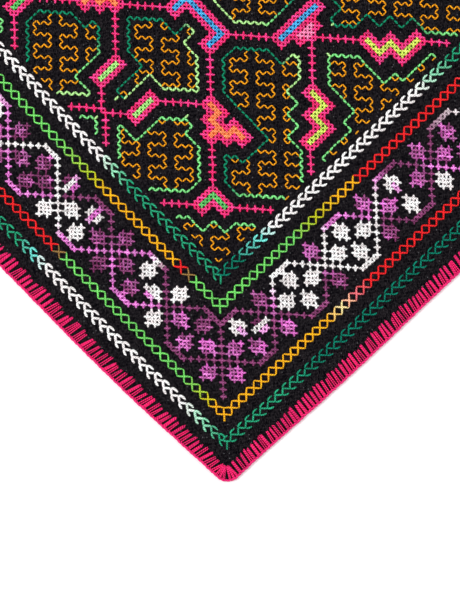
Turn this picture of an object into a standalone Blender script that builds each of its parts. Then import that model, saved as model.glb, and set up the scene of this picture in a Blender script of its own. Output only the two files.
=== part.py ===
"""An embroidered cotton cloth, lying flat.

One black woven panel carries its embroidery in low relief: four rows of line stitches that run
round the border, a band of two crossing strands between them, and a network of thick lines and
solid bars over the middle. Four runs of thick blanket stitch wrap the panel's edge, one a side.

Metres, +Z up, the underside at Z = 0 and the origin below the middle of the cloth. Every place
is counted in cells of the weave: one cell is one cross stitch. X runs along the side that ends
at the corner nearest the viewer's right, Y along the side to its left.
"""
import math

import bmesh
import bpy
from mathutils import Vector

CELLS_X = 150                # cross stitches along X, and along Y
CELLS_Y = 130
CELL_X = 0.001975            # one cell of the weave
CELL_Y = 0.0022
WIDTH = CELLS_X * CELL_X
DEPTH = CELLS_Y * CELL_Y
CORNER = 2.4                 # radius of the rounded corners, in cells
PANEL_THICK = 0.0012         # cloth with the backs of its stitches
BOW_X = 0.0052               # how far the middles of the sides bow out
BOW_Y = 0.0026
WAVE = 0.0003                # small unevenness of the hand-sewn edge
WAVES = 5                    # half waves of it along a side
FRONT_IN = 0.0008            # how much nearer to the pattern the front edge lies
FRONT_FROM = 0.93            # share of the way out from which it draws in

ROW_RISE = 0.0005            # relief of the line stitches
BAND_RISE = 0.00035          # relief of the crossing strands
CROSSING_STEP = 0.00001      # each strand lies a hair higher than the one before
NET_RISE = 0.0006            # relief of the network's solid bars
LINE_RISE = 0.0005           # relief of its slanting lines
SINK = 0.0004                # how deep a raised shape reaches into the panel

GAP = 0.0003                 # clearance between the panel and the edging
EDGE_WALL = 0.0008           # yarn wrapped round the edge
EDGE_THICK = 0.0006          # yarn of the spokes lying on the panel
EDGE_STEP = 0.0002           # the wrapped yarn draws in above the panel's top
SPOKE = 2.8                  # length of a spoke, in cells
SPOKE_PITCH = 2.0            # cells from one modelled spoke to the next
SPOKE_WIDTH = 1.2
SPOKE_LEAN = 0.5             # how far a spoke's inner end leans along the edge, in cells
SPOKE_ROOT = 0.45            # where the spokes leave the wrapped edge
UNEVEN = 0.2                 # how much the lengths of the spokes differ
COMB_END = 3.3               # inner corner of the yarn that turns a corner of the cloth
MITRE = 0.11                 # half the clearance between two runs at a corner, along each side
EDGE_STRETCH = 10.0          # cells between the points of an edge

BLACK = (0.012, 0.012, 0.013, 1)
CRIMSON = (0.72, 0.02, 0.12, 1)

# Line-stitch rows round the border: the distances of their outer and inner lines, in cells.
ROWS = ((4.8, 7.2), (9.1, 10.9), (24.1, 25.9), (27.8, 30.2))
ROW_TURN = 0.3               # radius of their corners

# The band of two strands that cross at each end of an eye.
BAND_MIDDLE = 17.5
BAND_REACH = 5.0             # from the band's middle to a strand's straight run
STRAND_HALF = 0.45
EYES_X = (14, 14, 14, 15, 15, 15, 14, 14)      # lengths of the eyes along each side
EYES_Y = (14, 14, 14, 13, 13, 13, 14)

# Solid bars of the network, by their corners in one quarter of the cloth.
# side: which copies exist, "all" four quarters, "x" mirrored left to right, "y" front to back.
BARS = (
    ("all", ((35, 39), (38, 39), (38, 36), (41, 36), (41, 42), (35, 42))),
    ("all", ((46, 47), (48, 47), (48, 45), (50, 45), (50, 43), (53, 43), (53, 48), (51, 48),
             (51, 49), (53, 49), (53, 54), (50, 54), (50, 52), (48, 52), (48, 50), (46, 50))),
    ("all", ((38, 59), (45, 59), (45, 62), (38, 62))),
    ("all", ((59, 34), (66, 34), (66, 37), (69, 37), (69, 43), (66, 43), (66, 40), (63, 40),
             (63, 37), (59, 37))),
    ("x", ((58, 59), (64, 59), (64, 71), (58, 71), (58, 68), (61, 68), (61, 62), (58, 62))),
    ("y", ((69, 51), (72, 51), (72, 49), (74, 49), (74, 48), (76, 48), (76, 49), (78, 49),
           (78, 51), (81, 51), (81, 54), (69, 54))),
    ("x", ((35, 64), (36, 64), (36, 66), (35, 66))),
)

# Slanting lines of the network: the first and the last cross of each, by cell.
LINES = (
    ((31, 45), (34, 42)),
    ((41, 35), (45, 31)),
    ((41, 42), (45, 46)),
    ((45, 58), (49, 54)),
    ((53, 54), (57, 58)),
    ((36, 63), (37, 62)),
    ((31, 60), (34, 63)),
    ((64, 58), (68, 54)),
    ((56, 31), (58, 33)),
    ((69, 43), (73, 47)),
)
LINE_HALF = 0.45


def bow(a, b):
    """Where a point of the square weave lies: the cloth bows out and its edges waver a little."""
    out_x = a / (WIDTH / 2)
    out_y = b / (DEPTH / 2)
    turn_x = math.pi / 2 * out_y
    turn_y = math.pi / 2 * out_x
    push_x = out_x * BOW_X * math.cos(turn_x) + out_x ** 5 * WAVE * math.sin(WAVES * turn_x)
    push_y = out_y * BOW_Y * math.cos(turn_y) + out_y ** 5 * WAVE * math.sin(WAVES * turn_y)
    margin = max(0.0, -out_y - FRONT_FROM) / (1 - FRONT_FROM)
    push_y += margin * FRONT_IN * (1 - out_x ** 8)
    return a + push_x, b + push_y


def place(u, v):
    """The place in metres of a point given in cells from the front left corner."""
    return bow(u * CELL_X - WIDTH / 2, v * CELL_Y - DEPTH / 2)


def dense(points):
    """Adds points to the long stretches of an outline, so that it follows the bowed weave."""
    result = []
    for index, (x0, y0) in enumerate(points):
        x1, y1 = points[(index + 1) % len(points)]
        parts = max(1, math.ceil(math.hypot(x1 - x0, y1 - y0) / EDGE_STRETCH))
        for part in range(parts):
            t = part / parts
            result.append((x0 + (x1 - x0) * t, y0 + (y1 - y0) * t))
    return result


def prism(name, outlines, low, high, collection):
    """A flat solid between two heights from closed outlines in metres; nested ones make holes."""
    curve = bpy.data.curves.new(name, "CURVE")
    curve.dimensions = "2D"
    curve.fill_mode = "BOTH"
    curve.extrude = (high - low) / 2
    for outline in outlines:
        spline = curve.splines.new("POLY")
        spline.points.add(len(outline) - 1)
        for point, (x, y) in zip(spline.points, outline):
            point.co = (x, y, 0, 1)
        spline.use_cyclic_u = True
    drawn = bpy.data.objects.new(name + "_outline", curve)
    drawn.location.z = (low + high) / 2
    bpy.context.scene.collection.objects.link(drawn)
    bpy.context.view_layer.update()
    evaluated = drawn.evaluated_get(bpy.context.evaluated_depsgraph_get())
    mesh = bpy.data.meshes.new_from_object(evaluated)
    mesh.transform(drawn.matrix_world)
    bpy.data.objects.remove(drawn)
    welded = bmesh.new()
    welded.from_mesh(mesh)
    bmesh.ops.remove_doubles(welded, verts=welded.verts, dist=0.000001)
    bmesh.ops.recalc_face_normals(welded, faces=welded.faces)
    welded.to_mesh(mesh)
    welded.free()
    mesh.name = name
    solid = bpy.data.objects.new(name, mesh)
    collection.objects.link(solid)
    return solid


def rounded(inset, radius, steps=6):
    """A rounded rectangle, in cells, at a distance inside the cloth's edge."""
    centres = (
        (CELLS_X - inset - radius, inset + radius, -90),
        (CELLS_X - inset - radius, CELLS_Y - inset - radius, 0),
        (inset + radius, CELLS_Y - inset - radius, 90),
        (inset + radius, inset + radius, 180),
    )
    points = []
    for u, v, start in centres:
        for step in range(steps + 1):
            angle = math.radians(start + 90 * step / steps)
            points.append((u + radius * math.cos(angle), v + radius * math.sin(angle)))
    return points


def mirrored(points, side):
    """The copies of a shape in the other quarters of the cloth."""
    copies = [points]
    if side in ("all", "x"):
        copies += [[(CELLS_X - u, v) for u, v in shape] for shape in list(copies)]
    if side in ("all", "y"):
        copies += [[(u, CELLS_Y - v) for u, v in shape] for shape in list(copies)]
    return copies


def ribbon(points, half):
    """The outline of a flat line of even width along an open path, in cells."""
    left = []
    right = []
    for index, (x, y) in enumerate(points):
        before = Vector(points[max(index - 1, 0)])
        after = Vector(points[min(index + 1, len(points) - 1)])
        here = Vector((x, y))
        into = (here - before).normalized() if index else (after - here).normalized()
        out = (after - here).normalized() if index < len(points) - 1 else into
        normal_in = Vector((-into.y, into.x))
        normal = (normal_in + Vector((-out.y, out.x))).normalized()
        reach = half / normal.dot(normal_in)
        left.append((x + normal.x * reach, y + normal.y * reach))
        right.append((x - normal.x * reach, y - normal.y * reach))
    return left + right[::-1]


def strand(eyes, first_side):
    """One strand of the band along a side: (distance along, distance across) from corner to corner."""
    at = BAND_MIDDLE
    side = first_side
    path = []
    for eye in eyes:
        slant = BAND_REACH
        run = eye - 2 * BAND_REACH
        path.append((at + slant, BAND_MIDDLE + side * BAND_REACH))
        path.append((at + slant + run, BAND_MIDDLE + side * BAND_REACH))
        at += eye
        side = -side
    return path


def band_outlines(inner_first, along_x):
    """The outlines of one of the two strands, on the two sides of the cloth that run one way."""
    eyes = EYES_X if along_x else EYES_Y
    path = strand(eyes, 1 if inner_first else -1)
    far = CELLS_Y if along_x else CELLS_X
    outlines = []
    for flip in (False, True):
        placed = []
        for along, across in path:
            across = far - across if flip else across
            placed.append((along, across) if along_x else (across, along))
        outlines.append(ribbon(placed, STRAND_HALF))
    return outlines


def corner_crosses(rising):
    """The slanting lines that meet where the band turns a corner."""
    low = BAND_MIDDLE - BAND_REACH
    high = BAND_MIDDLE + BAND_REACH
    path = [(low, low), (high, high)] if rising else [(low, high), (high, low)]
    return mirrored(ribbon(path, STRAND_HALF), "all")


def line_outlines():
    """The outlines of the network's slanting lines."""
    outlines = []
    for first, last in LINES:
        step = Vector((last[0] - first[0], last[1] - first[1])).normalized() * 0.5
        start = (first[0] + 0.5 - step.x, first[1] + 0.5 - step.y)
        end = (last[0] + 0.5 + step.x, last[1] + 0.5 + step.y)
        outlines += mirrored(ribbon([start, end], LINE_HALF), "all")
    return outlines


def raise_from(panel, name, outlines, rise, cutters, solver="EXACT"):
    """Joins flat raised shapes, given in cells, to the top of the panel."""
    placed = [[place(u, v) for u, v in dense(outline)] for outline in outlines]
    relief = prism(name, placed, PANEL_THICK - SINK, PANEL_THICK + rise, cutters)
    relief.hide_render = True
    relief.display_type = "WIRE"
    union = panel.modifiers.new(name, "BOOLEAN")
    union.operation = "UNION"
    union.solver = solver
    union.object = relief


def make_panel(collection, cutters):
    """The black cloth with its raised embroidery."""
    outline = [place(u, v) for u, v in dense(rounded(0, CORNER))]
    panel = prism("cloth", [outline], 0.0, PANEL_THICK, collection)
    rows = [rounded(distance, ROW_TURN, steps=1) for row in ROWS for distance in row]
    raise_from(panel, "rows", rows, ROW_RISE, cutters)
    band = {
        "strand_outer_x": band_outlines(False, True),
        "strand_outer_y": band_outlines(False, False),
        "strand_inner_x": band_outlines(True, True),
        "strand_inner_y": band_outlines(True, False),
        "corner_rising": corner_crosses(True),
        "corner_falling": corner_crosses(False),
    }
    for order, (name, outlines) in enumerate(band.items()):
        raise_from(panel, name, outlines, BAND_RISE + order * CROSSING_STEP, cutters)
    bars = [shape for side, corners in BARS for shape in mirrored(list(corners), side)]
    raise_from(panel, "bars", bars, NET_RISE, cutters, solver="MANIFOLD")
    raise_from(panel, "lines", line_outlines(), LINE_RISE, cutters)
    return panel


def edge_line(cells, steps=4):
    """The cloth's edge along one side, from the middle of one rounded corner to that of the next.

    Each point is its (along, across) place in cells with the direction that leads off the cloth.
    """
    corner = []
    for step in range(steps + 1):
        angle = math.radians(45 + 45 * step / steps)
        away = (-math.cos(angle), -math.sin(angle))
        corner.append((CORNER + CORNER * away[0], CORNER + CORNER * away[1], away))
    u, v, away = corner[0]
    corner[0] = (u + MITRE, v - MITRE, away)
    points = list(corner)
    along = CORNER + EDGE_STRETCH
    while along < cells - CORNER - 1:
        points.append((along, 0.0, (0.0, -1.0)))
        along += EDGE_STRETCH
    points += [(cells - u, v, (-away[0], away[1])) for u, v, away in reversed(corner)]
    return points


def comb_line(cells, lean):
    """The inner side of one run of spokes, from the far corner back, in (along, across) cells."""
    points = [(cells - COMB_END - MITRE, COMB_END - MITRE)]
    count = int((cells - 2 * COMB_END - 1) / SPOKE_PITCH)
    first = (cells - (count - 1) * SPOKE_PITCH) / 2
    for index in reversed(range(count)):
        middle = first + index * SPOKE_PITCH
        tip = SPOKE + UNEVEN * math.sin(2.4 * index)
        for side, across in ((1, SPOKE_ROOT), (1, tip), (-1, tip), (-1, SPOKE_ROOT)):
            leaning = lean if across == tip else 0.0
            points.append((middle + side * SPOKE_WIDTH / 2 + leaning, across))
    points.append((COMB_END + MITRE, COMB_END - MITRE))
    return points


def make_edging(name, along_x, flip, collection, cutters):
    """One side's run of blanket stitch: yarn wrapped round the edge, and spokes on the cloth."""
    cells = CELLS_X if along_x else CELLS_Y
    far = CELLS_Y if along_x else CELLS_X

    def to_metres(along, across, away=(0.0, 0.0), distance=0.0):
        across = far - across if flip else across
        off = -away[1] if flip else away[1]
        u, v = (along, across) if along_x else (across, along)
        off_u, off_v = (away[0], off) if along_x else (off, away[0])
        x, y = place(u, v)
        return x + off_u * distance, y + off_v * distance

    edge = edge_line(cells)
    inner = [to_metres(u, v, away, GAP) for u, v, away in edge]
    outer = [to_metres(u, v, away, GAP + EDGE_WALL) for u, v, away in edge]
    drawn_in = [to_metres(u, v, away, GAP + EDGE_WALL - EDGE_STEP) for u, v, away in edge]
    lean = SPOKE_LEAN if along_x != flip else -SPOKE_LEAN
    comb = [to_metres(u, v) for u, v in comb_line(cells, lean)]
    under = PANEL_THICK + GAP
    spokes = prism(name, [drawn_in + comb], under, under + EDGE_THICK, collection)
    wall = prism(name + "_wall", [outer + inner[::-1]], 0.0, under + EDGE_THICK / 2, cutters)
    wall.hide_render = True
    wall.display_type = "WIRE"
    union = spokes.modifiers.new("wall", "BOOLEAN")
    union.operation = "UNION"
    union.solver = "EXACT"
    union.object = wall
    return spokes


def finish(name, colour, roughness):
    """A plain material of one colour."""
    material = bpy.data.materials.new(name)
    material.use_nodes = True
    surface = material.node_tree.nodes["Principled BSDF"]
    surface.inputs["Base Color"].default_value = colour
    surface.inputs["Roughness"].default_value = roughness
    surface.inputs["Metallic"].default_value = 0.0
    return material


def main():
    for thing in list(bpy.data.objects):
        bpy.data.objects.remove(thing)
    collection = bpy.data.collections.new("embroidered_cloth")
    cutters = bpy.data.collections.new("raised_shapes")
    bpy.context.scene.collection.children.link(collection)
    bpy.context.scene.collection.children.link(cutters)
    panel = make_panel(collection, cutters)
    panel.data.materials.append(finish("black_cotton", BLACK, 0.9))
    crimson = finish("crimson_yarn", CRIMSON, 0.75)
    sides = (
        ("edging_front", True, False),
        ("edging_right", False, True),
        ("edging_back", True, True),
        ("edging_left", False, False),
    )
    for name, along_x, flip in sides:
        run = make_edging(name, along_x, flip, collection, cutters)
        run.data.materials.append(crimson)


main()
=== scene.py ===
"""Looks of an embroidered cloth that lies flat: black woven cotton worked with coloured yarn.

Metres, +Z up, the origin under the middle of the cloth. Stitches are placed in cells of the weave,
counted from the front left corner: one cell is one cross stitch. The pattern is a traditional one
of bands, mazes and thick lines, charted on that grid and mirrored about the middle.
"""

import math
import random

import bpy
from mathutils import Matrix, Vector, noise


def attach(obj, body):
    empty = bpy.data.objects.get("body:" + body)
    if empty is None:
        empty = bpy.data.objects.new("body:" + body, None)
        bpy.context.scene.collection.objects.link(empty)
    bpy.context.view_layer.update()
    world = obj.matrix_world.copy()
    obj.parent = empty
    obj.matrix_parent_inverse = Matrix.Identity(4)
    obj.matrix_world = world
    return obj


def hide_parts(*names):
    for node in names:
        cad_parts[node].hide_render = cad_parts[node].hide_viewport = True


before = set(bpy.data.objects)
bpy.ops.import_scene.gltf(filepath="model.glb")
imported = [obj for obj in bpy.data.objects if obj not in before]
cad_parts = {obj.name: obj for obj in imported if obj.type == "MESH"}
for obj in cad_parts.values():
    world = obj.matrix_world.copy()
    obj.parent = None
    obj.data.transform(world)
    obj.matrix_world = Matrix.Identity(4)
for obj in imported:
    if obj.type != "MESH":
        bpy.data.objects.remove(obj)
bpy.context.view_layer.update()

# The cloth, as in the frame.
CELLS_X = 150
CELLS_Y = 130
CELL_X = 0.001975
CELL_Y = 0.00220
WIDTH = CELLS_X * CELL_X
DEPTH = CELLS_Y * CELL_Y
CORNER = 2.4                 # radius of the rounded corners, in cells
FIELD = 31                   # cells from the edge to the embroidered middle
BOW_X = 0.0052               # how far the middles of the sides bow out
BOW_Y = 0.0026
WAVE = 0.0003                # small unevenness of the hand-sewn edge
WAVES = 5
FRONT_IN = 0.0008            # how much nearer to the pattern the front edge lies
FRONT_FROM = 0.93            # share of the way out from which it draws in
SURFACE = 0.00125            # height of the cloth's upper face
UNDERSIDE = 0.00015
RIPPLE = 0.00007             # how uneven the upper face is
RIPPLES = 160                # and how close its ripples lie, by the metre

# The yarn.
YARN = 0.00086               # width of a strand that lies on the cloth
CROSS = 0.00100              # width of a cross stitch's strands at their middle
RISE = 0.00048               # how high it stands
CROSSED = 0.00024            # how much higher where it crosses another
ROOT = 0.00012               # how deep its sides reach into the cloth
WIDTH_UNEVEN = 0.08          # how much a strand's width varies, as a share
TONE_UNEVEN = 0.08           # and its tone along it
DARK_UNEVEN = 0.22           # how much more uneven the darkest yarn is
SIDES = 4                    # faces over the back of a strand
FULL = 1.08                  # width of a strand's middle, as a share of its nominal width
FLATNESS = 0.8               # power of the curve over its back, 1 for a half circle
TUCKED = 0.6                 # width of an end that dives into the cloth, as a share
TUCK_DEPTH = 0.00006         # how far under the face such an end lies
TUCKS = (0.0, 0.13, 0.5, 0.87, 1.0)      # places along a straight strand that its points take

# Distances from the cloth's edge, in cells.
FEATHERS = (6.0, 29.0)
CHAINS = (10.0, 25.0)
BAND = 17                    # the cell in the middle of the band
REACH = 5                    # from it to a strand's straight run
EYES_X = (14, 14, 14, 15, 15, 15, 14, 14)
EYES_Y = (14, 14, 14, 13, 13, 13, 14)

YARNS = {
    "crimson": (238, 48, 120),
    "pink": (255, 84, 160),
    "blush": (255, 165, 205),
    "salmon": (255, 158, 106),
    "leaf": (120, 214, 128),
    "lime": (190, 244, 155),
    "lemon": (222, 240, 122),
    "blue": (92, 190, 236),
    "gold": (246, 174, 34),
    "bottle": (26, 144, 108),
    "spring": (138, 230, 146),
    "green": (128, 222, 116),
    "pale": (190, 240, 162),
    "teal": (48, 166, 126),
    "pine": (18, 132, 110),
    "aqua": (120, 220, 210),
    "mint": (160, 228, 194),
    "white": (252, 248, 248),
    "orchid": (236, 152, 224),
    "lilac": (248, 196, 240),
    "plum": (162, 88, 138),
    "amber": (252, 190, 40),
    "olive": (190, 206, 44),
    "brown": (156, 124, 74),
    "red": (242, 48, 52),
    "rose": (245, 130, 140),
    "cream": (244, 226, 168),
}


def linear(name):
    """A yarn's colour as light values."""
    return tuple((value / 255) ** 2.2 for value in YARNS[name])


def mixed(first, second, share):
    """A colour or a point on the way from one to another."""
    return tuple(a + (b - a) * share for a, b in zip(first, second))


def shaded(stops, at):
    """The colour of variegated yarn at one place, from (place, colour name) stops."""
    if at <= stops[0][0]:
        return linear(stops[0][1])
    for (start, first), (end, second) in zip(stops, stops[1:]):
        if at < end:
            return mixed(linear(first), linear(second), (at - start) / (end - start))
    return linear(stops[-1][1])


def bow(a, b):
    """Where a point of the square weave lies: the cloth bows out and its edges waver a little."""
    out_x = a / (WIDTH / 2)
    out_y = b / (DEPTH / 2)
    turn_x = math.pi / 2 * out_y
    turn_y = math.pi / 2 * out_x
    push_x = out_x * BOW_X * math.cos(turn_x) + out_x ** 5 * WAVE * math.sin(WAVES * turn_x)
    push_y = out_y * BOW_Y * math.cos(turn_y) + out_y ** 5 * WAVE * math.sin(WAVES * turn_y)
    margin = max(0.0, -out_y - FRONT_FROM) / (1 - FRONT_FROM)
    push_y += margin * FRONT_IN * (1 - out_x ** 8)
    return a + push_x, b + push_y


def place(u, v):
    """The place in metres of a point given in cells."""
    return bow(u * CELL_X - WIDTH / 2, v * CELL_Y - DEPTH / 2)


class Side:
    """One side of the cloth, walked with the cloth's middle on the left.

    along runs from 0 at the side's first corner, inward from 0 at its edge.
    """

    def __init__(self, name, cells, place_on):
        self.name = name
        self.cells = cells
        self.place_on = place_on

    def points(self, path):
        """A path of the side, in cells of the cloth."""
        return [self.place_on(along, inward) for along, inward in path]


SIDES_ROUND = (
    Side("front", CELLS_X, lambda along, inward: (along, inward)),
    Side("right", CELLS_Y, lambda along, inward: (CELLS_X - inward, along)),
    Side("back", CELLS_X, lambda along, inward: (CELLS_X - along, CELLS_Y - inward)),
    Side("left", CELLS_Y, lambda along, inward: (inward, CELLS_Y - along)),
)


class Stitches:
    """Gathers strands of yarn into one piece."""

    def __init__(self, name, slot, seed):
        self.name = name
        self.slot = slot
        self.chance = random.Random(seed)
        self.points = []
        self.faces = []
        self.colours = []
        self.lays = []

    def uneven(self, colour, spread=0.10):
        """Yarn takes dye and light a little differently from stitch to stitch."""
        factor = 1 + self.chance.uniform(-spread, spread)
        return tuple(min(1.0, value * factor) for value in colour)

    def nudge(self, point, spread=0.05):
        """The point moved at random, as stitches stray from the grid."""
        return (point[0] + self.chance.uniform(-spread, spread),
                point[1] + self.chance.uniform(-spread, spread))

    def strand(self, path, colour, width=YARN, rise=RISE, lift=0.0, ends=(True, True), taper=0.28):
        """A strand along a path in cells; it thins towards its ends, which dive into the cloth."""
        spots = [place(u, v) for u, v in path]
        last = len(spots) - 1
        start = len(self.points)
        stitch_colour = self.uneven(colour)
        stitch_width = width * self.chance.uniform(1 - WIDTH_UNEVEN, 1 + WIDTH_UNEVEN)
        travelled = self.chance.uniform(0.0, 0.01)
        for index, (x, y) in enumerate(spots):
            x0, y0 = spots[max(index - 1, 0)]
            x1, y1 = spots[min(index + 1, last)]
            length = math.hypot(x1 - x0, y1 - y0) or 1e-9
            side_x = (y0 - y1) / length
            side_y = (x1 - x0) / length
            if index:
                travelled += math.hypot(x - spots[index - 1][0], y - spots[index - 1][1])
            tucked = (index == 0 and ends[0]) or (index == last and ends[1])
            share = index / last
            full = FULL - taper * (1 - math.sin(math.pi * share))
            half = stitch_width / 2 * (full * TUCKED if tucked else full)
            dark = 1 - max(stitch_colour)
            tone = self.uneven(stitch_colour, TONE_UNEVEN + DARK_UNEVEN * dark)
            height = -TUCK_DEPTH if tucked else rise + lift * math.sin(math.pi * share) ** 2
            for turn in range(SIDES + 1):
                angle = math.pi * turn / SIDES
                across = half * math.cos(angle)
                on_back = 0 < turn < SIDES
                up = (height + ROOT) * math.sin(angle) ** FLATNESS if on_back else 0.0
                self.points.append((x + side_x * across, y + side_y * across, SURFACE - ROOT + up))
                self.lays.append((travelled, half * angle, turn / SIDES))
                self.colours.append(tone)
        row = SIDES + 1
        for index in range(last):
            for turn in range(SIDES):
                a = start + index * row + turn
                self.faces.append((a, a + 1, a + row + 1, a + row))

    def straight(self, first, second, colour, **options):
        """A straight strand between two points in cells."""
        self.strand([mixed(first, second, t) for t in TUCKS], colour, **options)

    def cross(self, i, j, colour, width=CROSS, reach=0.05, spread=0.08, taper=0.60, shade_and_mottle=0.3):
        """A cross stitch over one cell, the second strand lying over the first."""
        # Painted shade and highlight with uneven dye: both strands darken at random towards their
        # colour squared; the lower one always a little more, as painted shade under the upper; the
        # upper one also lightens or darkens at random, partly as painted highlight.
        painted_shade_colour = tuple(value * value for value in colour)
        lower_strand_shaded = mixed(colour, painted_shade_colour, self.chance.uniform(0, shade_and_mottle) + shade_and_mottle / 3)
        above = self.uneven(mixed(colour, painted_shade_colour, self.chance.uniform(0, shade_and_mottle)), shade_and_mottle / 2)
        low_left = self.nudge((i - reach, j - reach), spread)
        high_right = self.nudge((i + 1 + reach, j + 1 + reach), spread)
        high_left = self.nudge((i - reach, j + 1 + reach), spread)
        low_right = self.nudge((i + 1 + reach, j - reach), spread)
        self.straight(low_left, high_right, lower_strand_shaded, width=width, taper=taper)
        self.straight(high_left, low_right, above, width=width, lift=CROSSED, taper=taper)

    def make(self, material):
        """The finished piece."""
        mesh = bpy.data.meshes.new(self.name)
        mesh.from_pydata(self.points, [], self.faces)
        mesh.shade_smooth()
        tint = mesh.color_attributes.new(name="yarn_colour", type="FLOAT_COLOR", domain="POINT")
        tint.data.foreach_set("color", [v for colour in self.colours for v in (*colour, 1.0)])
        lay = mesh.attributes.new(name="lay", type="FLOAT_VECTOR", domain="POINT")
        lay.data.foreach_set("vector", [value for values in self.lays for value in values])
        piece = bpy.data.objects.new(self.name, mesh)
        bpy.context.scene.collection.objects.link(piece)
        mesh.materials.append(material)
        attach(piece, "root")
        return piece


# Materials

TWIST_ALONG = 7000.0         # turn of the yarn's twist along a strand, in radians a metre
TWIST_ROUND = 6500.0         # and around it
TWIST_SHARE = 0.35           # height of the twist in the relief, beside that of the fuzz


class Graph:
    """A new material with its nodes."""

    def __init__(self, name, roughness, sheen, shine):
        self.material = bpy.data.materials.new(name)
        self.material.use_nodes = True
        self.nodes = self.material.node_tree.nodes
        self.link = self.material.node_tree.links.new
        self.surface = self.nodes["Principled BSDF"]
        for socket, value in (("Roughness", roughness), ("Sheen Weight", sheen),
                              ("Sheen Roughness", 0.45), ("Specular IOR Level", shine)):
            self.surface.inputs[socket].default_value = value

    def add(self, kind, **values):
        """A node, its values given by the names of their sockets."""
        node = self.nodes.new("ShaderNode" + kind)
        for name, value in values.items():
            self.put(value, node.inputs[name.replace("_", " ")])
        return node

    def put(self, value, socket):
        """Sets a socket to a value, or joins it to another node's output."""
        if isinstance(value, bpy.types.NodeSocket):
            self.link(value, socket)
        else:
            socket.default_value = value

    def math(self, operation, *values):
        """The outcome of one operation."""
        node = self.add("Math")
        node.operation = operation
        for value, socket in zip(values, node.inputs):
            self.put(value, socket)
        return node.outputs[0]

    def noise(self, where, scale, detail=2.0, roughness=0.5):
        """Noise from 0 to 1."""
        node = self.add("TexNoise", Vector=where, Scale=scale, Detail=detail, Roughness=roughness)
        return node.outputs["Fac"]

    def range(self, value, from_range, to_range=(0.0, 1.0)):
        """The value moved from one range to another, and kept within it."""
        node = self.add("MapRange", Value=value, From_Min=from_range[0], From_Max=from_range[1],
                        To_Min=to_range[0], To_Max=to_range[1])
        return node.outputs["Result"]

    def mix(self, share, first, second):
        """A mix of two colours."""
        node = self.add("Mix")
        node.data_type = "RGBA"
        for value, name in ((share, "Factor"), (first, "A"), (second, "B")):
            self.put(value, node.inputs[name])
        return node.outputs["Result"]

    def finish(self, colour, relief, strength, distance):
        """Joins the colour and the relief to the surface."""
        bump = self.add("Bump", Strength=strength, Distance=distance, Height=relief)
        self.link(bump.outputs["Normal"], self.surface.inputs["Normal"])
        self.link(colour, self.surface.inputs["Base Color"])
        return self.material


def yarn_material(name):
    """Soft plied yarn: its colour comes with each strand, with painted shade in the grooves of the
    twist and on the flanks, and painted highlight where the twist stands high.
    """
    graph = Graph(name, roughness=0.8, sheen=0.03, shine=0.08)
    attributes = []
    for attribute, output in (("yarn_colour", "Color"), ("lay", "Vector")):
        node = graph.add("Attribute")
        node.attribute_name = attribute
        attributes.append(node.outputs[output])
    colour, lay = attributes
    along, aside, turn = graph.add("SeparateXYZ", Vector=lay).outputs
    twist = graph.math("SINE", graph.math("ADD", graph.math("MULTIPLY", along, TWIST_ALONG),
                                          graph.math("MULTIPLY", aside, TWIST_ROUND)))
    where = graph.add("TexCoord").outputs["Object"]
    fuzz = graph.noise(where, 1800.0, detail=4.0, roughness=0.7)
    relief = graph.math("ADD", graph.math("MULTIPLY", twist, TWIST_SHARE), fuzz)
    # Painted shade and highlight: the colour is scaled by the relief of twist and fuzz, darker where
    # it lies low and lighter where it stands high.
    relief_shade_and_highlight = graph.range(relief, (0.1, 0.9), (0.24, 1.60))
    # Painted shade: the flanks of a strand are made darker and deeper in colour than its back.
    off_back = graph.math("ABSOLUTE", graph.math("SUBTRACT", turn, 0.5))
    flank_shade = graph.math("MULTIPLY", off_back, 1.7)
    painted_shade_colour = graph.add("VectorMath")
    painted_shade_colour.operation = "MULTIPLY"
    graph.link(colour, painted_shade_colour.inputs[0])
    graph.link(colour, painted_shade_colour.inputs[1])
    tint = graph.add("VectorMath")
    tint.operation = "SCALE"
    graph.link(graph.mix(flank_shade, colour, painted_shade_colour.outputs["Vector"]), tint.inputs[0])
    graph.link(relief_shade_and_highlight, tint.inputs["Scale"])
    return graph.finish(tint.outputs["Vector"], relief, strength=0.6, distance=0.00012)


THREADS = 5                  # threads of the cotton to a cell
WEAVE_SHARE = 0.16           # height of the weave in the relief, beside that of the fuzz
THREAD_STRAY = 14.0          # how far a thread wanders from its line, in radians of the weave


def cotton_material():
    """Black plain-woven cotton with pale specks of lint, lighter where the weave and its fuzz stand
    high: uneven grain, with painted shade between the threads.
    """
    graph = Graph("black_cotton", roughness=0.95, sheen=0.0, shine=0.02)
    where = graph.add("TexCoord").outputs["Object"]
    x, y = graph.add("SeparateXYZ", Vector=where).outputs[:2]
    stray = graph.math("MULTIPLY", graph.noise(where, 420.0), THREAD_STRAY)
    warp = graph.math("MULTIPLY", x, math.pi / (CELL_X / THREADS))
    weft = graph.math("MULTIPLY", y, math.pi / (CELL_Y / THREADS))
    over = graph.math("SINE", graph.math("ADD", warp, stray))
    under = graph.math("SINE", graph.math("SUBTRACT", weft, stray))
    weave = graph.math("MULTIPLY", graph.math("MULTIPLY", over, under), WEAVE_SHARE)
    fuzz = graph.noise(where, 1100.0, detail=5.0, roughness=0.75)
    relief = graph.math("ADD", weave, fuzz)
    lint = graph.add("TexVoronoi", Vector=where, Scale=650.0)
    speck = graph.range(lint.outputs["Distance"], (0.17, 0.04))
    rare = graph.math("GREATER_THAN", lint.outputs["Color"], 0.6)
    # Painted shade between the weave's threads, with the cotton's uneven grain: the cloth is lighter
    # where the relief stands high.
    grain_and_weave_shade = graph.range(relief, (0.42, 0.80))
    cloth = graph.mix(grain_and_weave_shade, (0.0, 0.0, 0.001, 1), (0.036, 0.031, 0.035, 1))
    tint = graph.mix(graph.math("MULTIPLY", speck, rare), cloth, (0.14, 0.14, 0.15, 1))
    return graph.finish(tint, relief, strength=0.8, distance=0.00018)


# The cloth


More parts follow.
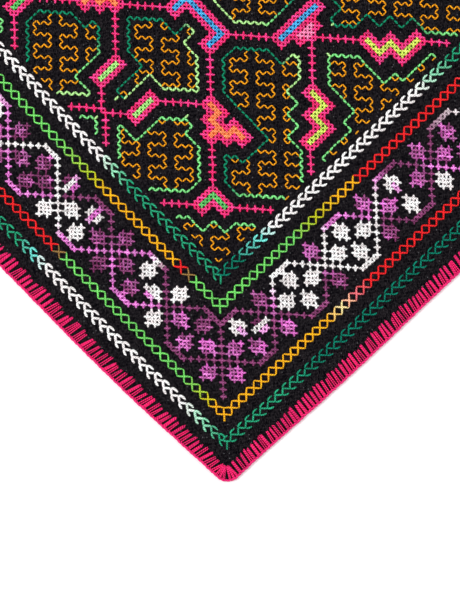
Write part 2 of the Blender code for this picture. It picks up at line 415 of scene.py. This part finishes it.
def corner_rounded(u, v):
    """Draws the grid's square corners in to rounded ones."""
    a = max(CORNER - u, u - CELLS_X + CORNER, 0.0) / CORNER
    b = max(CORNER - v, v - CELLS_Y + CORNER, 0.0) / CORNER
    if not (a and b):
        return u, v
    new_a = a * math.sqrt(1 - b * b / 2)
    new_b = b * math.sqrt(1 - a * a / 2)
    middle_u = CORNER if u < CORNER else CELLS_X - CORNER
    middle_v = CORNER if v < CORNER else CELLS_Y - CORNER
    return (middle_u + math.copysign(new_a * CORNER, u - middle_u),
            middle_v + math.copysign(new_b * CORNER, v - middle_v))


def make_cloth():
    """The black panel, a little uneven as hand-worked cloth is."""
    columns = CELLS_X + 1
    layer = columns * (CELLS_Y + 1)
    points = []
    for height, uneven in ((SURFACE, RIPPLE), (UNDERSIDE, 0.0)):
        for j in range(CELLS_Y + 1):
            for i in range(columns):
                x, y = place(*corner_rounded(i, j))
                ripple = noise.noise(Vector((x * RIPPLES, y * RIPPLES, 0.5)))
                points.append((x, y, height + uneven * (ripple - 1)))
    faces = []
    for j in range(CELLS_Y):
        for i in range(CELLS_X):
            a = j * columns + i
            b = a + columns
            faces.append((a, a + 1, b + 1, b))
            faces.append((layer + a, layer + b, layer + b + 1, layer + a + 1))
    rim = list(range(CELLS_X))
    rim += [j * columns + CELLS_X for j in range(CELLS_Y)]
    rim += [CELLS_Y * columns + i for i in range(CELLS_X, 0, -1)]
    rim += [j * columns for j in range(CELLS_Y, 0, -1)]
    for a, b in zip(rim, rim[1:] + rim[:1]):
        faces.append((a, layer + a, layer + b, b))
    mesh = bpy.data.meshes.new("cotton_cloth")
    mesh.from_pydata(points, [], faces)
    mesh.shade_smooth()
    cloth = bpy.data.objects.new("cotton_cloth", mesh)
    bpy.context.scene.collection.objects.link(cloth)
    mesh.materials.append(cotton_material())
    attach(cloth, "root")
    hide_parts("cloth")
    return cloth


# The blanket stitch

SPOKE = 2.78                 # length of a spoke, in cells
SPOKE_UNEVEN = 0.28          # how much that varies
SPOKE_LEAN = 0.5             # how far its inner end leans along the side, in cells
LEAN_UNEVEN = 0.20           # and how much that varies
STRAY = 0.10                 # how far a spoke strays from its place
THREE = 0.6                  # share of the spokes that have three strands, the rest two
SPOKE_STRAND = 0.00052       # width of each of its strands
SPOKE_SPREAD = 0.36          # from its first strand to its last, in cells
FAN = (0.8, 1.8, 2.75)       # where the spokes that fan round a corner start, from the corner
FAN_POINT = 2.55             # and where they meet
FAN_END = FAN[-1] + 0.1
SPOKE_PARTS = (0.0, 0.3, 0.65, 0.93, 1.0)    # places along a spoke that its points take
SPOKE_RISE = 0.00066         # how high a spoke stands
ROPE_OFF = 0.16              # how far off the cloth's edge the rope's middle lies, in cells
ROPE_HALF_WIDTH = 0.00052
ROPE_MIDDLE = 0.00095        # height of the rope's middle
ROPE_HALF_HEIGHT = 0.00085
ROPE_RADIUS = 0.0007         # its mean radius, for the twist of its yarn
ROPE_SIDES = 8


def spoke_places(cells):
    """Where the spokes of one side leave its edge."""
    first = FAN[-1] + 1.05
    count = round(cells - 2 * first)
    straight = [first + (cells - 2 * first) * step / count for step in range(count + 1)]
    return list(FAN) + straight + [cells - along for along in reversed(FAN)]


def edge_point(cells, along, off=0.0):
    """A point of the rounded edge by its distance along the side, moved off the cloth."""
    if CORNER <= along <= cells - CORNER:
        return along, -off
    near = along < CORNER
    turn = (CORNER - along if near else along - cells + CORNER) / CORNER * math.radians(45)
    reach = CORNER + off
    middle = CORNER if near else cells - CORNER
    return (middle + (-1 if near else 1) * reach * math.sin(turn),
            CORNER - reach * math.cos(turn))


def make_edging(side, seed, material):
    """Crimson blanket stitch: a spoke of two or three strands a cell, and the rope on the edge."""
    work = Stitches("blanket_stitch_" + side.name, "edging_yarn", seed)
    chance = work.chance
    colour = linear("crimson")
    for along in spoke_places(side.cells):
        from_end = min(along, side.cells - along)
        turns = from_end < FAN_END
        outer = edge_point(side.cells, along + (0 if turns else chance.uniform(-STRAY, STRAY)), 0.1)
        if turns:
            reach = FAN_POINT + 0.15 * from_end
            inner = (reach if along < FAN_END else side.cells - reach, FAN_POINT)
        else:
            lean = SPOKE_LEAN + chance.uniform(-LEAN_UNEVEN, LEAN_UNEVEN)
            inner = (outer[0] + lean, SPOKE + chance.uniform(-SPOKE_UNEVEN, SPOKE_UNEVEN))
        count = 3 if chance.random() < THREE else 2
        colour_here = work.uneven(colour, 0.10)
        for strand in range(count):
            aside = (strand - (count - 1) / 2) * SPOKE_SPREAD / (count - 1)
            closer = 0.4 if turns else 0.75
            first = (outer[0] + aside * (0.9 if turns else 1.2), outer[1])
            last = (inner[0] + aside * closer + chance.uniform(-0.05, 0.05),
                    inner[1] - abs(aside) * 0.5 + chance.uniform(-0.12, 0.12))
            path = [mixed(first, last, t) for t in SPOKE_PARTS]
            work.strand(side.points(path), colour_here, width=SPOKE_STRAND,
                        rise=SPOKE_RISE + chance.uniform(-0.00008, 0.00008), ends=(False, True),
                        taper=0.15)
    rope(work, side, colour)
    piece = work.make(material)
    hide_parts("edging_" + side.name)
    return piece


def rope(work, side, colour):
    """The yarn that runs along the edge from spoke to spoke."""
    steps = side.cells * 3
    start = len(work.points)
    travelled = 0.0
    before = None
    for step in range(steps + 1):
        along = side.cells * step / steps
        bulge = 0.05 * math.sin(math.tau * along) + 0.10 * noise.noise(Vector((along, 0.3, 0.7)))
        off = ROPE_OFF + bulge
        spot = place(*side.place_on(*edge_point(side.cells, along, off)))
        ahead = place(*side.place_on(*edge_point(side.cells, along + 0.01, off)))
        length = math.hypot(ahead[0] - spot[0], ahead[1] - spot[1])
        side_x = (ahead[1] - spot[1]) / length
        side_y = (spot[0] - ahead[0]) / length
        if before:
            travelled += math.hypot(spot[0] - before[0], spot[1] - before[1])
        before = spot
        tone = work.uneven(colour, 0.06)
        for turn in range(ROPE_SIDES):
            angle = math.tau * turn / ROPE_SIDES
            across = ROPE_HALF_WIDTH * math.cos(angle)
            up = ROPE_MIDDLE + ROPE_HALF_HEIGHT * math.sin(angle)
            work.points.append((spot[0] + side_x * across, spot[1] + side_y * across, up))
            work.lays.append((travelled, ROPE_RADIUS * angle, 0.5))
            work.colours.append(tone)
    for step in range(steps):
        for turn in range(ROPE_SIDES):
            a = start + step * ROPE_SIDES + turn
            b = start + step * ROPE_SIDES + (turn + 1) % ROPE_SIDES
            work.faces.append((a, b, b + ROPE_SIDES, a + ROPE_SIDES))


# Rows of line stitch

FEATHER_TONES = {
    "outer": {
        "left": ((8, "teal"), (12, "mint"), (16, "white"), (52, "white"), (55, "aqua"),
                 (59, "teal"), (90, "pine"), (100, "mint"), (104, "white")),
        "front": ((22, "teal"), (32, "pine"), (70, "pine"), (80, "teal"), (88, "white"),
                  (120, "white"), (132, "mint"), (140, "teal")),
        "right": ((5, "teal"), (30, "pine"), (40, "mint"), (44, "white"), (80, "white"),
                  (90, "teal"), (130, "bottle")),
        "back": ((5, "bottle"), (40, "teal"), (50, "mint"), (56, "white"), (100, "white"),
                 (110, "mint"), (120, "teal")),
    },
    "inner": {
        "left": ((53, "teal"), (56, "mint"), (60, "white")),
        "front": ((34, "pine"), (40, "aqua"), (44, "white"), (83, "white"), (87, "mint"),
                  (92, "teal")),
        "right": ((27, "teal"), (50, "bottle"), (60, "mint"), (66, "white")),
        "back": ((60, "white"), (70, "mint"), (80, "teal"), (120, "bottle")),
    },
}

CHAIN_TONES = {
    "outer": {
        "left": ((12, "amber"), (15, "olive"), (19, "green"), (50, "green"), (52, "brown"),
                 (54, "red"), (66, "red"), (80, "rose"), (90, "cream"), (100, "amber")),
        "front": ((38, "amber"), (42, "cream"), (46, "rose"), (50, "red"), (80, "red"),
                  (90, "green"), (118, "green"), (128, "olive"), (136, "amber")),
        "right": ((9, "amber"), (30, "olive"), (36, "green"), (70, "green"), (80, "red"),
                  (110, "red"), (120, "rose")),
        "back": ((9, "rose"), (16, "red"), (50, "red"), (60, "amber"), (100, "amber"),
                 (110, "olive"), (120, "green")),
    },
    "inner": {
        "left": ((31, "green"), (33, "brown"), (35, "red"), (36.5, "amber"), (54, "amber"),
                 (58, "olive"), (66, "green"), (90, "green"), (106, "olive")),
        "front": ((45, "green"), (50, "olive"), (57, "amber"), (61, "amber"), (63, "red"),
                  (90, "red"), (100, "rose"), (108, "cream"), (118, "amber")),
        "right": ((50, "amber"), (60, "olive"), (70, "green")),
        "back": ((50, "green"), (60, "brown"), (64, "red"), (90, "red"), (100, "amber")),
    },
}


def from_corner(side, along):
    """The distance by which the tone tables go: from the side's corner at the front or the left."""
    return along if side.name in ("front", "right") else side.cells - along


# The hooks of the feather row: how far their points lie forward and outward of the turn.
HOOK_IN = ((0.0, 0.0), (0.16, 0.22), (0.5, 0.35), (0.95, 0.38), (1.38, 0.34))
HOOK_OUT = ((0.0, 0.0), (0.26, 0.24), (0.6, 0.42), (0.9, 0.50), (1.2, 0.54))
HALF_ZIGZAG = 0.45           # from the middle of the feather row to its turns
TAIL = (1.2, -1.3)           # the last strand of a row, from its turn
CHAIN_WAVE = 0.90            # from the middle of the chain row to the tops of its waves
CHAIN_PARTS = (-0.03, 0.10, 0.3, 0.5, 0.7, 0.90, 1.03)
CHAIN_CURVE = 0.30           # how round its waves are: 0 for a zigzag, 1 for a sine
FEATHER = 0.00100            # width of its strands where the yarn is white, less where it is dark
CHAIN = 0.00076              # width of the chain row's strands


def feather_row(work, side, inward, tones):
    """Zigzag with a forward-curving hook at every turn."""
    units = int(side.cells / 2 - inward)
    for unit in range(units):
        along = inward + 2 * unit
        tone = shaded(tones, from_corner(side, along + 1))
        width = FEATHER * (0.66 + 0.34 * max(tone))
        turn_in = work.nudge((along, inward + HALF_ZIGZAG), 0.06)
        turn_out = work.nudge((along + 0.95, inward - HALF_ZIGZAG), 0.06)
        next_in = work.nudge((along + 2, inward + HALF_ZIGZAG), 0.06)
        for first, second in ((turn_in, turn_out), (turn_out, next_in)):
            path = [mixed(first, second, t) for t in TUCKS]
            work.strand(side.points(path), tone, width=width)
        hook_out = [(turn_out[0] + forward, turn_out[1] - out) for forward, out in HOOK_OUT]
        hook_in = [(turn_in[0] + forward, turn_in[1] + out) for forward, out in HOOK_IN]
        for hook in (hook_out, hook_in):
            work.strand(side.points(hook), tone, width=width, lift=0.0001, taper=0.2)
    end = (side.cells - inward, inward + HALF_ZIGZAG)
    tone = shaded(tones, from_corner(side, end[0]))
    tail = [(end[0] + TAIL[0] * t, end[1] + TAIL[1] * t) for t in TUCKS]
    work.strand(side.points(tail), tone, width=width)


def chain_row(work, side, inward, tones):
    """Two waves that cross every second cell and leave a row of small diamonds."""
    stitches = int((side.cells - 2 * inward) / 2) + 1
    for wave in (1, -1):
        for stitch in range(stitches):
            along = inward - 1 + 2 * stitch
            rise = wave * (1 if stitch % 2 else -1)
            tone = shaded(tones, from_corner(side, along + 1))
            path = []
            for t in CHAIN_PARTS:
                slope = CHAIN_CURVE * math.cos(math.pi * t) + (1 - CHAIN_CURVE) * (1 - 2 * t)
                path.append(work.nudge((along + 2 * t, inward + CHAIN_WAVE * rise * slope), 0.05))
            work.strand(side.points(path), tone, width=CHAIN, lift=CROSSED if wave > 0 else 0.0,
                        taper=0.4)


def make_rows(material):
    """The outer and the inner pair of rows."""
    pieces = []
    for where, feather, chain in zip(("outer", "inner"), FEATHERS, CHAINS):
        feathers = Stitches("feather_row_" + where, "row_yarn", 41)
        chains = Stitches("chain_row_" + where, "row_yarn", 43)
        for side in SIDES_ROUND:
            feather_row(feathers, side, feather, FEATHER_TONES[where][side.name])
            chain_row(chains, side, chain, CHAIN_TONES[where][side.name])
        pieces += [feathers.make(material), chains.make(material)]
    return pieces


# The band of crossing strands

# Colours of a strand along a side, counted from the side's corner at the front or the left.
STRAND_TONES = {
    ("left", 0): ((36, "plum"), (38, "white"), (40, "orchid"), (53, "orchid"), (55.5, "white"),
                  (84, "white"), (90, "orchid"), (104, "plum")),
    ("left", 1): ((31, "plum"), (33, "orchid"), (44, "orchid"), (47, "plum"), (58, "plum"),
                  (61, "orchid"), (76, "orchid"), (84, "white")),
    ("front", 0): ((30, "plum"), (32, "orchid"), (35, "white"), (62, "white"), (64.5, "orchid"),
                   (67, "plum"), (72, "plum"), (74, "orchid"), (90, "orchid"), (100, "plum"),
                   (116, "white")),
    ("front", 1): ((43.5, "plum"), (44.5, "orchid"), (46, "white"), (49, "white"), (51, "orchid"),
                   (58, "orchid"), (60, "plum"), (78, "plum"), (86, "white"), (120, "orchid"),
                   (132, "plum")),
    ("right", 0): ((36, "plum"), (40, "white"), (70, "white"), (78, "orchid")),
    ("right", 1): ((0, "plum"), (30, "orchid"), (60, "orchid"), (66, "white"), (100, "plum")),
    ("back", 0): ((40, "plum"), (46, "orchid"), (80, "white")),
    ("back", 1): ((50, "white"), (56, "plum"), (90, "plum"), (96, "orchid")),
}

# Colours of the four groups of each eye and of the two at the crossing that ends it:
# near end, far end, outer, inner; then outer, inner. Letters are w white, o orchid, p plum,
# and j to n for white with some crosses in other colours.
GROUP_TONES = {
    "left": ("ooop" "ww", "jppw" "pp", "pwwn" "wk", "pppp" "pp", "owom" "wo", "wwww" "pp",
             "oooo" "oo"),
    "front": ("olom" "op", "wwww" "po", "wwww" "po", "oowm" "wo", "owoo" "pp", "wwmm" "oo",
              "oppp" "ww", "wwoo" "oo"),
    "right": ("oooo" "pp", "wwww" "oo", "pppp" "ww", "omwo" "pp", "wwww" "oo", "oopp" "ww",
              "wwoo" "oo"),
    "back": ("oooo" "ww", "wwpp" "oo", "oooo" "pp", "wwww" "oo", "pppp" "ww", "omow" "pp",
             "wwww" "oo", "oooo" "oo"),
}
LETTERS = {"w": "white", "o": "orchid", "p": "plum"}
GROUP_CROSS = {"white": 0.00098, "lilac": 0.00096, "orchid": 0.00092, "plum": 0.00086}
# The coloured crosses of the white groups, by their row and their step along it.
MIXED_GROUPS = {
    "j": {(-1, -0.5): "lilac", (-1, 0.5): "orchid"},
    "k": {(-1, -0.5): "orchid", (-1, 0.5): "orchid", (0, 1.5): "lilac", (1, -0.5): "plum",
          (1, 0.5): "plum"},
    "l": {(-1, -0.5): "lilac", (-1, 0.5): "lilac", (1, -0.5): "plum", (1, 0.5): "plum"},
    "m": {(0, -1.5): "lilac", (0, -0.5): "lilac"},
    "n": {(0, -1.5): "lilac", (0, -0.5): "orchid", (0, 0.5): "orchid", (0, 1.5): "orchid"},
}
GROUP_SHADE_AND_MOTTLE = 0.6           # how strongly the groups' crosses are darkened and lightened: uneven dye, with painted shade and highlight
GROUP_BLEND = 0.8            # how far a coloured cross may turn to the other colour
GROUP_END = 3.5              # from a crossing of the strands to the middles of its four groups
GROUP_SIDE = 2.5             # from the middle of an eye to those of its outer and inner groups
STRAND_CROSS = {"width": 0.00104, "reach": -0.02, "taper": 0.72, "shade_and_mottle": 0.4}


def group(work, middle_along, middle_across, along_band, letter, to_cell):
    """Eight crosses: a row of four with a pair on each side of it."""
    for across in (-1, 0, 1):
        for step in ((-1.5, -0.5, 0.5, 1.5) if across == 0 else (-0.5, 0.5)):
            if along_band:
                spot = (middle_along + step, middle_across + across)
            else:
                spot = (middle_along + across, middle_across + step)
            if letter in MIXED_GROUPS:
                name = MIXED_GROUPS[letter].get((across, step), "white")
            else:
                name = LETTERS[letter]
            colour = linear(name)
            if letter in ("o", "p"):
                other = "plum" if name == "orchid" else "orchid"
                colour = mixed(colour, linear(other), GROUP_BLEND * work.chance.random() ** 2)
            work.cross(*to_cell(spot[0] - 0.5, spot[1] - 0.5), colour,
                       width=GROUP_CROSS[name], reach=0.03, spread=0.12, shade_and_mottle=GROUP_SHADE_AND_MOTTLE)


def band_side(work, side):
    """The two strands of one side, from corner to corner, and the groups between them."""
    eyes = EYES_X if side.name in ("front", "back") else EYES_Y
    letters = GROUP_TONES[side.name]

    def to_cell(along, across):
        """The cell of the cloth for a cell of the side, both by their low corners."""
        flip = {"front": (along, across), "left": (across, along),
                "right": (CELLS_X - 1 - across, along), "back": (along, CELLS_Y - 1 - across)}
        return flip[side.name]

    line = BAND + 0.5
    at = BAND
    way = -1
    for index, eye in enumerate(eyes):
        for strand in (0, 1):
            hand = way if strand == 0 else -way
            for step in range(1, eye):
                corner = (index == 0 and step < REACH) or (
                    index == len(eyes) - 1 and eye - step < REACH)
                if corner:
                    continue
                across = BAND + hand * min(step, REACH, eye - step)
                tone = shaded(STRAND_TONES[side.name, strand], at + step)
                work.cross(*to_cell(at + step, across), tone, **STRAND_CROSS)
        start = at + 0.5
        centre = start + eye // 2
        near, far, outer, inner, cross_outer, cross_inner = letters[index]
        group(work, start + GROUP_END, line, True, near, to_cell)
        group(work, start + eye - GROUP_END, line, True, far, to_cell)
        group(work, centre, line - GROUP_SIDE, False, outer, to_cell)
        group(work, centre, line + GROUP_SIDE, False, inner, to_cell)
        at += eye
        if index < len(eyes) - 1:
            work.cross(*to_cell(at, BAND), shaded(STRAND_TONES[side.name, 0], at), **STRAND_CROSS)
            group(work, at + 0.5, line - GROUP_END, False, cross_outer, to_cell)
            group(work, at + 0.5, line + GROUP_END, False, cross_inner, to_cell)
        way = -way


def band_corner(work, flip_x, flip_y):
    """The two slanting lines of crosses where the band turns a corner, and two groups."""

    def to_cell(i, j):
        """The cell of this corner for a cell of the first one."""
        return (CELLS_X - 1 - i if flip_x else i, CELLS_Y - 1 - j if flip_y else j)

    low = BAND - REACH
    plum = linear("plum")
    for step in range(2 * REACH + 1):
        cells = {(low + step, low + step), (low + step, BAND + REACH - step)}
        for i, j in cells:
            work.cross(*to_cell(i, j), plum, **STRAND_CROSS)
    middle = BAND + 0.5
    group(work, middle - GROUP_END, middle, True, "o", to_cell)
    group(work, middle, middle - GROUP_END, False, "o", to_cell)


def make_band(material):
    """The band, one piece for each side with the corner at its start."""
    pieces = []
    for seed, side in enumerate(SIDES_ROUND):
        work = Stitches("crossing_band_" + side.name, "band_yarn", 60 + seed)
        band_side(work, side)
        band_corner(work, side.name in ("right", "back"), side.name in ("back", "left"))
        pieces.append(work.make(material))
    return pieces


# The network of thick lines

PINK = 0.00092               # width of the strands of its crosses
MIDDLE = 0.00098             # width of those of its coloured middles
SALMON = 0.00118             # and of the fullest of them

# The slanting runs of crosses, each by its two ends in one quarter, and the crosses beside them.
RUNS = (((31, 45), (34, 42)), ((41, 35), (45, 31)), ((41, 42), (45, 46)), ((45, 58), (49, 54)),
        ((53, 54), (57, 58)), ((36, 63), (37, 62)), ((31, 60), (34, 63)), ((64, 58), (68, 54)),
        ((56, 31), (58, 33)), ((69, 43), (73, 47)))
SINGLES = {(35, 64), (72, 49), (73, 49), (72, 50), (74, 48)}
PALE_SINGLES = {(73, 50), (74, 50), (74, 49)}

# Coloured middles of the blocks, by the cells that their lines pass, and their colours.
BLOCKS = (
    ("leaf", (((36, 40), (39, 40), (39, 37)),)),
    ("salmon", (((51, 52), (51, 50), (49, 50), (49, 46), (51, 46), (51, 44)), ((49, 48), (47, 48)))),
    ("lime", (((39, 60), (43, 60)),)),
    ("lemon", (((60, 35), (64, 35), (64, 38), (67, 38), (67, 41)),)),
    ("blue", (((59, 60), (62, 60), (62, 69), (59, 69)),)),
    ("blue", (((70, 52), (79, 52)),)),
)


def line_cells(corners):
    """The cells that a line through some corners passes."""
    cells = set()
    for (i0, j0), (i1, j1) in zip(corners, corners[1:]):
        steps = max(abs(i1 - i0), abs(j1 - j0))
        for step in range(steps + 1):
            cells.add((i0 + (i1 - i0) * step // steps, j0 + (j1 - j0) * step // steps))
    return cells


def mirrored_cells(cells):
    """The cells and their mirror images in the other quarters."""
    result = set(cells)
    result |= {(CELLS_X - 1 - i, j) for i, j in result}
    result |= {(i, CELLS_Y - 1 - j) for i, j in result}
    return result


def make_network(material):
    """The pink crosses, and the coloured ones in the middles of the blocks."""
    work = Stitches("network_crosses", "network_yarn", 71)
    centres = Stitches("network_middles", "network_yarn", 72)
    middles = {}
    for name, lines in BLOCKS:
        cells = set()
        for line in lines:
            cells |= line_cells(line)
        for cell in mirrored_cells(cells):
            middles[cell] = name
    pink = set()
    for i, j in middles:
        pink |= {(i + a, j + b) for a in (-1, 0, 1) for b in (-1, 0, 1)}
    for first, last in RUNS:
        pink |= mirrored_cells(line_cells((first, last)))
    pink |= mirrored_cells(SINGLES)
    blush = mirrored_cells(PALE_SINGLES)
    pink -= set(middles) | blush
    for i, j in sorted(pink):
        work.cross(i, j, linear("pink"), width=PINK, shade_and_mottle=0.55)
    for i, j in sorted(blush):
        work.cross(i, j, linear("blush"), width=PINK)
    for (i, j), name in sorted(middles.items()):
        full = name == "salmon"
        centres.cross(i, j, linear(name), width=SALMON if full else MIDDLE,
                      taper=0.3 if full else 0.5, shade_and_mottle=0.4 if name == "blue" else 0.3)
    return [work.make(material), centres.make(material)]


# Green outlines and the golden maze inside them

OUTLINE = 0.00088            # width of the outlines' strands
DASH_GAP = 0.12              # share of a stitch left open where the line runs straight
MAZE = 0.00058               # width of the maze's

# Each outline: which mirror images it has, then its ring of corners in one quarter, where a slanting
# step between two corners is a staircase, then its colours by the stitch, counted round the ring,
# and the maze's starting points, if there is a maze in it. The last two go by the number of the
# image; one that isn't named there takes what the first has, mirrored.
OUTLINES = (
    ("all", ((31, 49), (36, 44), (40, 44), (44, 48), (44, 52), (46, 52), (46, 54), (43, 57),
             (36, 57), (36, 61), (35, 61), (31, 57)),
     {0: ((0, "spring"),),
      2: ((32, "bottle"), (38, "spring"), (44, "spring"), (48, "pale"))},
     {0: (36, 54), 2: (35, 76)}),
    ("x", ((40, 64), (47, 64), (47, 60), (51, 56), (52, 56), (56, 60), (56, 64), (59, 64),
           (59, 66), (56, 66), (56, 70), (52, 74), (51, 74), (47, 70), (47, 66), (40, 66)),
     {0: ((35, "pale"), (38, "bottle"))}, {0: (49, 63)}),
    ("all", ((49, 31), (43, 37), (43, 41), (46, 44), (48, 42), (48, 41), (55, 41), (55, 53),
             (59, 57), (63, 57), (67, 53), (67, 49), (70, 49), (70, 47), (68, 45), (64, 45),
             (64, 42), (61, 42), (61, 39), (58, 39), (58, 35), (53, 31)),
     {0: ((10, "spring"), (14, "bottle"), (69, "bottle"), (72, "pale"), (81, "pale"),
          (85, "spring")),
      1: ((94, "bottle"), (102, "spring"))}, {0: (59, 55), 1: (89, 55)}),
    ("all", ((31, 42), (32, 42), (32, 41), (33, 41), (33, 37), (36, 37), (36, 34), (39, 34),
             (42, 31), (31, 31)), {0: ((0, "spring"),)}, {0: (32, 34)}),
    ("y", ((60, 31), (60, 32), (68, 32), (68, 34), (71, 34), (71, 41), (74, 44), (76, 44),
           (79, 41), (79, 34), (82, 34), (82, 32), (90, 32), (90, 31)),
     {0: ((0, "spring"),)}, {0: (71, 41)}),
    ("one", ((66, 60), (70, 56), (80, 56), (84, 60), (84, 70), (80, 74), (70, 74), (66, 70)),
     {0: ((6, "pale"), (9, "spring"), (13, "teal"), (18, "bottle"), (38, "pale"), (44, "bottle"),
          (54, "bottle"), (60, "pale"))}, {0: (66, 61)}),
    ("x", ((31, 67), (32, 67), (32, 66), (33, 66), (33, 64), (32, 64), (32, 63), (31, 63)),
     {0: ((0, "spring"),)}, {}),
)
# Single stitches beside the outlines: their mirror images and their two ends.
TICKS = (("x", (46, 54), (47, 54)), ("all", (70, 48), (70.7, 48)), ("x", (38.5, 65), (39.6, 65)),
         ("y", (75, 44), (75, 45)), ("x", (33, 65), (34, 65)))

MAZE_STEPS = ((1, 0), (0, 1), (1, 0), (0, -1), (1, 0), (0, -1), (1, 0), (0, 1), (1, 0), (0, 1),
              (-1, 0), (0, 1), (-1, 0), (0, 1))
MAZE_GAIN = (3, 3)           # how far one round of the steps leads
MAZE_SHIFT = (2, -5)         # from one line of the maze to the next
MAZE_LINES = 12              # lines tried on each side of the first, more than a region holds
MAZE_TURNS = 16              # and rounds of each


def with_stairs(corners):
    """The ring of an outline cell by cell; stairs leave a straight stretch at a right angle."""
    ring = [corners[0]]
    flat_before = corners[0][1] == corners[-1][1]
    for target in corners[1:] + corners[:1]:
        while ring[-1] != target:
            i, j = ring[-1]
            across = target[0] - i
            up = target[1] - j
            if across and (not up or not flat_before):
                ring.append((i + (1 if across > 0 else -1), j))
                flat_before = True
            else:
                ring.append((i, j + (1 if up > 0 else -1)))
                flat_before = False
    return ring[:-1]


def copies(points, kind):
    """Mirror images of a path, with their numbers."""
    result = [(0, list(points))]
    if kind in ("all", "x"):
        result.append((1, [(CELLS_X - u, v) for u, v in points]))
    if kind in ("all", "y"):
        result += [(2 + number, [(u, CELLS_Y - v) for u, v in path])
                   for number, path in list(result)]
    return result


def cells_inside(ring):
    """The cells within a ring of lattice points."""
    inside = set()
    walls = {}
    for (u0, v0), (u1, v1) in zip(ring, ring[1:] + ring[:1]):
        if u0 == u1:
            walls.setdefault(min(v0, v1), []).append(u0)
    for j, places in walls.items():
        places.sort()
        for start, end in zip(places[::2], places[1::2]):
            inside |= {(i, j) for i in range(start, end)}
    return inside


def on_limit(first, second):
    """Whether a lattice step lies on the border of the embroidered middle."""
    return (first[0] == second[0] and first[0] in (FIELD, CELLS_X - FIELD)) or (
        first[1] == second[1] and first[1] in (FIELD, CELLS_Y - FIELD))


def runs_on(before, first, second):
    """Whether a step keeps the direction of the one before it."""
    return (first[0] - before[0], first[1] - before[1]) == (second[0] - first[0],
                                                            second[1] - first[1])


def within(first, second, inside):
    """Whether a lattice step runs inside a region, or along the border of the middle."""
    i, j = min(first, second)
    beside = {(i, j), (i, j - 1)} if first[1] == second[1] else {(i, j), (i - 1, j)}
    found = len(beside & inside)
    return found == 2 or (found == 1 and on_limit(first, second))


def maze_steps(inside, start):
    """The steps of all lines of the maze that lie within a region."""
    found = []
    for line in range(-MAZE_LINES, MAZE_LINES + 1):
        for turn in range(-MAZE_TURNS, MAZE_TURNS + 1):
            u = start[0] + MAZE_SHIFT[0] * line + MAZE_GAIN[0] * turn
            v = start[1] + MAZE_SHIFT[1] * line + MAZE_GAIN[1] * turn
            for across, up in MAZE_STEPS:
                step = ((u, v), (u + across, v + up))
                if within(*step, inside):
                    found.append(step)
                u += across
                v += up
    return found


def make_field(outline_material, maze_material):
    """The outlines, and the maze's lines within them."""
    outlines = Stitches("green_outlines", "outline_yarn", 81)
    maze = Stitches("golden_maze", "maze_yarn", 82)
    gold = linear("gold")
    for kind, corners, tones, starts in OUTLINES:
        ring = with_stairs(corners)
        for number, path in copies(ring, kind):
            stops = tones.get(number, tones[0])
            for index, (first, second) in enumerate(zip(path, path[1:] + path[:1])):
                if on_limit(first, second):
                    continue
                start_at = outlines.nudge(first, 0.07)
                end_at = outlines.nudge(second, 0.07)
                if runs_on(path[index - 1], first, second):
                    start_at = mixed(start_at, end_at, DASH_GAP)
                outlines.straight(start_at, end_at, shaded(stops, index), width=OUTLINE, taper=0.75)
            if not starts:
                continue
            mirrored = dict(copies([starts[0]], kind))[number][0]
            begin = starts.get(number, mirrored)
            for first, second in maze_steps(cells_inside(path), begin):
                maze.straight(maze.nudge(first, 0.06), maze.nudge(second, 0.06), gold, width=MAZE)
    for kind, first, second in TICKS:
        for number, path in copies([first, second], kind):
            outlines.straight(path[0], path[1], linear("pale"))
    return [outlines.make(outline_material), maze.make(maze_material)]


# The room


def make_room():
    """A pale floor and soft light, stronger from the picture's left."""
    bpy.ops.mesh.primitive_plane_add(size=3.0, location=(0, 0, -0.0001))
    floor = bpy.context.object
    floor.name = "floor"
    material = bpy.data.materials.new("pale_floor")
    material.use_nodes = True
    surface = material.node_tree.nodes["Principled BSDF"]
    surface.inputs["Base Color"].default_value = (0.97, 0.965, 0.97, 1)
    surface.inputs["Roughness"].default_value = 0.9
    floor.data.materials.append(material)

    world = bpy.data.worlds.new("studio")
    bpy.context.scene.world = world
    world.use_nodes = True
    world.node_tree.nodes["Background"].inputs["Color"].default_value = (1.0, 0.99, 0.99, 1)
    world.node_tree.nodes["Background"].inputs["Strength"].default_value = 0.62

    for name, spot, size, power in (("key", (-0.5, 0.5, 1.1), 0.5, 10.0),
                                    ("fill", (0.6, -0.5, 1.0), 0.9, 3.5)):
        light = bpy.data.lights.new(name, "AREA")
        light.size = size
        light.energy = power
        lamp = bpy.data.objects.new(name, light)
        lamp.location = spot
        lamp.rotation_euler = (-Vector(spot)).to_track_quat("-Z", "Y").to_euler()
        bpy.context.scene.collection.objects.link(lamp)


CAMERA_SPOT = (-0.0980, -0.0917, 0.6825)
CAMERA_TURN = -43.5          # in degrees


def make_camera():
    """Straight above the cloth, turned so that its front left corner points down."""
    lens = bpy.data.cameras.new("camera")
    lens.lens = 100
    lens.sensor_width = 36
    camera = bpy.data.objects.new("camera", lens)
    camera.location = CAMERA_SPOT
    camera.rotation_euler = (0, 0, math.radians(CAMERA_TURN))
    bpy.context.scene.collection.objects.link(camera)
    bpy.context.scene.camera = camera


def main():
    bpy.context.scene.view_settings.view_transform = "Standard"
    make_camera()
    make_room()
    cloth = make_cloth()
    yarns = {slot: yarn_material(slot + "_plied") for slot in
             ("edging", "row", "band", "network", "outline", "maze")}
    pieces = [make_edging(side, 20 + seed, yarns["edging"])
              for seed, side in enumerate(SIDES_ROUND)]
    pieces += make_rows(yarns["row"])
    pieces += make_band(yarns["band"])
    pieces += make_network(yarns["network"])
    pieces += make_field(yarns["outline"], yarns["maze"])


main()
